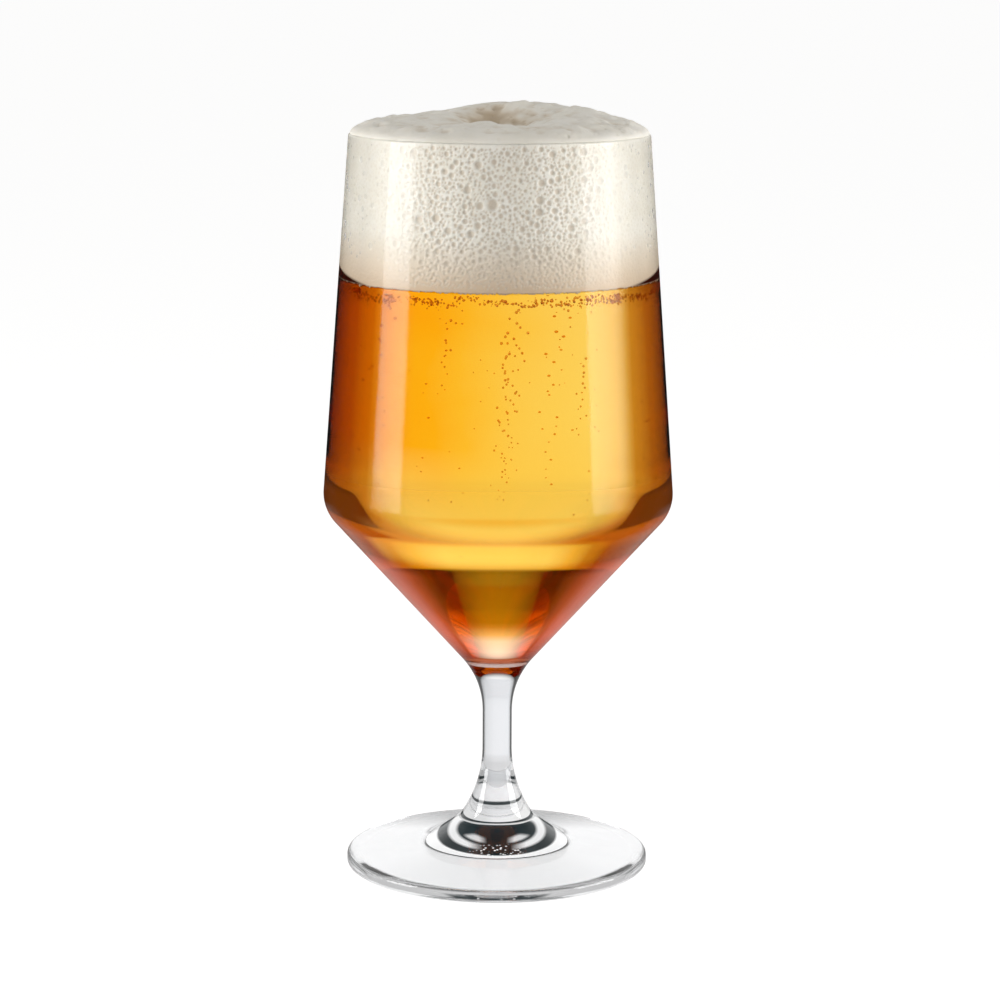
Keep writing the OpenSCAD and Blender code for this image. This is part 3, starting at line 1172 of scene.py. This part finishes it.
# %% [markdown]
# ## Gas in the beer
# Gas leaves the beer as strings of tiny bubbles that rise from a few spots, and it gathers
# in a band under the foam. Each bubble is a ball of gas, small enough that a coarse ball of
# eighty faces looks round. They are joined in one mesh, so the whole gas is one piece.

# %% The gas bubbles' finish
gas_finish, tree = new_material("gas_finish")
inputs = {
    "IOR": 1.25,
    "Transmission Weight": 0.75,
    "Roughness": mapped(tree, grain(tree, 400), 0.3, 0.7, 0.0, 0.05),
    "Base Color": ramp(
        tree, grain(tree, 900), [(0.3, (0.84, 0.40, 0.06)), (0.7, (0.98, 0.66, 0.20))]
    ),
}
gas = add(tree, "ShaderNodeBsdfPrincipled", inputs).outputs["BSDF"]
add(tree, "ShaderNodeOutputMaterial", {"Surface": gas})
print("gas_finish", len(tree.nodes), "nodes")

# %% Where the strings rise
UNDER_FOAM = 0.9   # mm of clear beer that is kept over a bubble
OFF_WALL = 1.2     # mm that is kept to the wall
# Each string: where it starts, its lowest and highest bubble and how many it has.
STRINGS = (
    (1.0, -30.0, 95.0, 134.0, 46),
    (3.0, -33.0, 100.0, 140.0, 30),
    (18.0, -28.0, 110.0, 128.0, 14),
    (-12.0, -30.0, 120.0, 138.0, 12),
    (8.0, 20.0, 90.0, 140.0, 24),
    (-20.0, 12.0, 92.0, 138.0, 20),
    (26.0, 8.0, 95.0, 138.0, 18),
)
print("gas in strings:", sum(string[-1] for string in STRINGS))

# %% Let the gas rise
gas_spots = []
fizz = random.Random(23)


def drop_gas(x, y, z, r):
    if math.hypot(x, y) + r < inside_r(z) - OFF_WALL and z + r < BEER_H - UNDER_FOAM:
        gas_spots.append((x, y, z, r))


def drop_round(away, angle, z, r):
    drop_gas(away * math.cos(angle), away * math.sin(angle), z, r)


for _ in range(70):
    cluster, depth = fizz.uniform(0, 2 * math.pi), fizz.uniform(1.3, 3.2)
    for _ in range(fizz.randint(4, 34)):
        angle = cluster + fizz.gauss(0, 0.05)
        z = BEER_H - depth - abs(fizz.gauss(0, 0.7))
        away = inside_r(z) - 1.3 - abs(fizz.gauss(0, 1.0))
        drop_round(away, angle, z, fizz.uniform(0.10, 0.34))
for start_x, start_y, low, high, count in STRINGS:
    for k in range(count):
        z = low + (high - low) * (k + fizz.random()) / count
        x = start_x + fizz.gauss(0, 1.1) + (z - low) * 0.02
        y = start_y + fizz.gauss(0, 1.0)
        drop_gas(x, y, z, 0.12 + 0.16 * (z - low) / (high - low) + fizz.uniform(0, 0.1))
for _ in range(90):
    angle, z = fizz.uniform(0, 2 * math.pi), fizz.uniform(88, 142)
    away = fizz.uniform(10, inside_r(z) - 1.5)
    drop_round(away, angle, z, fizz.uniform(0.1, 0.22))
print("gas:", len(gas_spots), "bubbles")

# %% Blow the bubbles
shape = bmesh.new()
bmesh.ops.create_icosphere(shape, subdivisions=2, radius=1.0)
ball_points = np.array([v.co[:] for v in shape.verts])
ball_faces = [[v.index for v in f.verts] for f in shape.faces]
shape.free()
points, faces = [], []
for x, y, z, r in gas_spots:
    faces += [[len(points) + i for i in f] for f in ball_faces]
    points += (ball_points * r + np.array([x, y, z])).tolist()
gas_bubbles = mesh_piece("gas_bubbles", points, faces, gas_finish)
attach(gas_bubbles, "root")
print("gas:", len(ball_faces), "faces on each bubble")

# %% [markdown]
# ## Floor, light and background
# The glass stands on a plain white table that runs into a white background. The table shines
# a little by itself towards the camera and towards rays that pass through or off the glass,
# so it looks as white as the background, and the rest of its brightness is lit, so it keeps
# the soft shadow. Two tall soft lamps stand left and right, and the room between them is dim
# for reflections, which draws the dark edges that clear glass needs.

# %% The table
FLOOR_HALF, FLOOR_Z = 12000.0, -0.05   # mm


def rays(tree):
    """Camera rays, rays that should see white, and rays mirrored off the glass's outside."""
    path = add(tree, "ShaderNodeLightPath").outputs
    seen, glossy = path["Is Camera Ray"], path["Is Glossy Ray"]
    through = path["Is Transmission Ray"]
    white = maths(tree, "ADD", seen, glossy, through, clamp=True)
    return seen, white, maths(tree, "SUBTRACT", glossy, through, clamp=True)


floor_finish, tree = new_material("floor_finish")
_, white, mirrored = rays(tree)
speck = ramp(tree, grain(tree, 8), greys((0.3, 0.78), (0.7, 0.80)))
matt = add(tree, "ShaderNodeBsdfDiffuse", {"Color": speck}).outputs["BSDF"]
glow = add(tree, "ShaderNodeEmission", {"Strength": 0.87}).outputs["Emission"]
some = add(tree, "ShaderNodeBsdfDiffuse", {"Color": (0.26, 0.26, 0.26, 1)}).outputs["BSDF"]
table = either(tree, white, matt, both(tree, glow, some))
away = add(tree, "ShaderNodeVectorMath", {0: here(tree)}, operation="LENGTH").outputs["Value"]
inputs = {"Strength": mapped(tree, away, 0.18, 0.45, 0.6, 0.02)}
dim = add(tree, "ShaderNodeEmission", inputs).outputs["Emission"]
add(tree, "ShaderNodeOutputMaterial", {"Surface": either(tree, mirrored, table, dim)})
square = [(-1, -1), (1, -1), (1, 1), (-1, 1)]
points = [[FLOOR_HALF * x, FLOOR_HALF * y, FLOOR_Z] for x, y in square]
floor = mesh_piece("floor", points, [[0, 1, 2, 3]], floor_finish)
print("floor", 2 * FLOOR_HALF * MM, "m wide")

# %% The room
world = bpy.data.worlds.new("room")
bpy.context.scene.world = world
world.use_nodes = True
tree = world.node_tree
tree.nodes.clear()
seen, white, mirrored = rays(tree)
sky = add(tree, "ShaderNodeTexCoord").outputs["Generated"]
sky_z = add(tree, "ShaderNodeSeparateXYZ", {0: sky}).outputs["Z"]
ceiling = ramp(tree, sky_z, greys((0.40, 1.0), (0.60, 0.30), (0.76, 0.06)))
haze = mapped(tree, sky_z, 0.02, 0.14, 0.05, 1.0)
shown = mixed(tree, mirrored, ceiling, haze, "MULTIPLY")
inputs = {"Color": mixed(tree, seen, shown, WHITE), "Strength": 1.0}
backdrop = add(tree, "ShaderNodeBackground", inputs).outputs["Background"]
inputs = {"Color": (1.0, 0.985, 0.96, 1), "Strength": mapped(tree, sky_z, 0.0, 0.8, 0.75, 0.3)}
light = add(tree, "ShaderNodeBackground", inputs).outputs["Background"]
add(tree, "ShaderNodeOutputWorld", {"Surface": either(tree, white, light, backdrop)})
print("room ready")

# %% The two soft lamps
LAMP_AWAY, LAMP_H, LAMP_TALL = 1.0, 0.37, 0.7


def soft_lamp(name, bearing, width, power):
    """A tall lamp at a bearing in degrees from the camera's side, positive to the right."""
    data = bpy.data.lights.new(name, "AREA")
    data.shape = "RECTANGLE"
    data.size, data.size_y = width, LAMP_TALL
    data.energy = power
    lamp = bpy.data.objects.new(name, data)
    angle = math.radians(bearing)
    out = Vector((math.sin(angle), -math.cos(angle), 0))
    spot = out * LAMP_AWAY + Vector((0, 0, LAMP_H))
    turn = (-out).to_track_quat("-Z", "Y").to_matrix().to_4x4()
    lamp.matrix_world = Matrix.Translation(spot) @ turn
    lamp.visible_camera = False
    lamp.visible_transmission = False
    bpy.context.scene.collection.objects.link(lamp)
    print(name, "at", [round(c, 2) for c in spot])


soft_lamp("left_lamp", -77.0, 0.42, 7.0)
soft_lamp("right_lamp", 80.0, 0.62, 7.6)

# %% [markdown]
# ## Camera
# The photograph was taken from about 0.8 m, a little above the rim, looking down by ten
# degrees. The long lens keeps the sides of the bowl nearly straight. A small roll matches the
# slight lean of the glass in the picture.

# %% Set the camera
CAMERA_SPOT = (0.0, -0.7801, 0.2318)
down, to_left, roll = math.radians(10.348), math.radians(0.033), math.radians(0.252)
ahead = Vector(
    (math.sin(to_left) * math.cos(down), math.cos(to_left) * math.cos(down), -math.sin(down))
)
right = ahead.cross(Vector((0, 0, 1))).normalized()
up = right.cross(ahead)
right, up = (
    math.cos(roll) * right + math.sin(roll) * up,
    math.cos(roll) * up - math.sin(roll) * right,
)
data = bpy.data.cameras.new("photo_camera")
data.sensor_width = 36
data.lens = 118.98
data.clip_start, data.clip_end = 0.05, 100
camera = bpy.data.objects.new("photo_camera", data)
turn = Matrix((right, up, -ahead)).transposed().to_4x4()
camera.matrix_world = Matrix.Translation(CAMERA_SPOT) @ turn
scene = bpy.context.scene
scene.collection.objects.link(camera)
scene.camera = camera
scene.view_settings.view_transform = "Standard"
scene.cycles.max_bounces = 24
scene.cycles.transmission_bounces = 24
scene.cycles.glossy_bounces = 12
scene.cycles.transparent_max_bounces = 24
print("camera at", [round(c, 3) for c in camera.matrix_world.translation])
